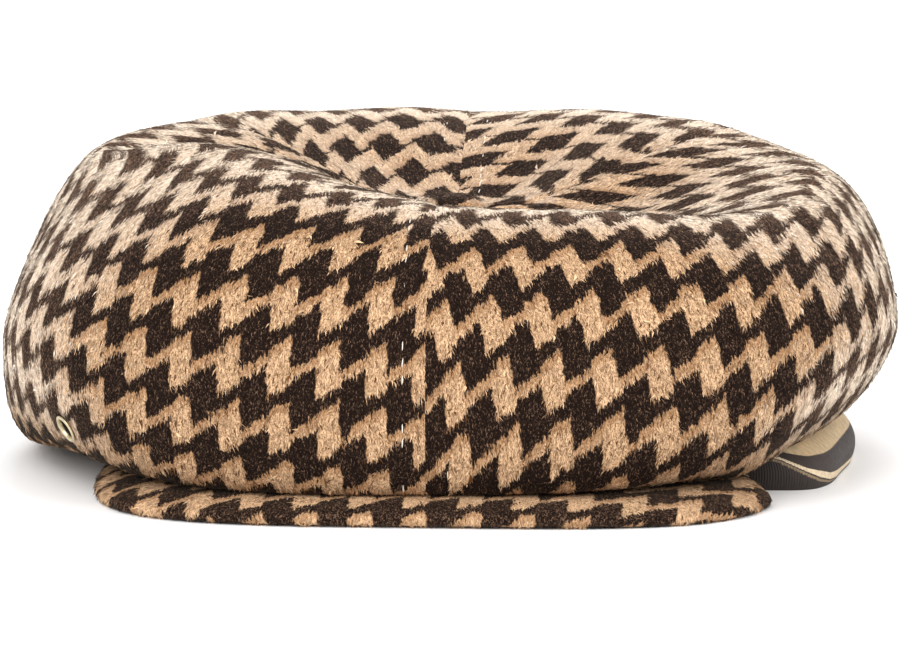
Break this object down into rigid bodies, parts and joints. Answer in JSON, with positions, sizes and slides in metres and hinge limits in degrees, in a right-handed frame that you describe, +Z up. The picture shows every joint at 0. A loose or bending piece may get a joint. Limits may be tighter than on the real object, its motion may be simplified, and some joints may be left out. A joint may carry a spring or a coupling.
{
  "type": "driving cap",
  "caption": "Full soft driving cap of brushed check wool: sewn crown panels sunk round a covered button, cloth-covered peak with dark lining, striped ribbon sweatband and a brass vent eyelet.",
  "frame": {"origin": "centre of the bounding box at the level of the table the cap rests on", "axes": "+Z up, the peak towards -Y, +X towards the wearer's left"},
  "size_m": [0.269, 0.2777, 0.0977],
  "materials": {
    "check_wool": "brushed houndstooth wool, camel and near-black brown, soft nap",
    "dark_lining": "plain dark lining cloth",
    "striped_ribbon": "ribbed ribbon with lengthwise stripes in tan, dark grey-brown and cream, slight sheen",
    "brass": "worn pale brass"
  },
  "bodies": {
    "root": {"crown_front_left": "check_wool", "crown_side_left": "check_wool", "crown_back_left": "check_wool", "crown_back_right": "check_wool", "crown_side_right": "check_wool", "crown_front_right": "check_wool", "top_button": "check_wool", "peak": "check_wool", "peak_lining": "dark_lining", "sweatband": "striped_ribbon", "eyelet": "brass"}
  },
  "joints": []
}
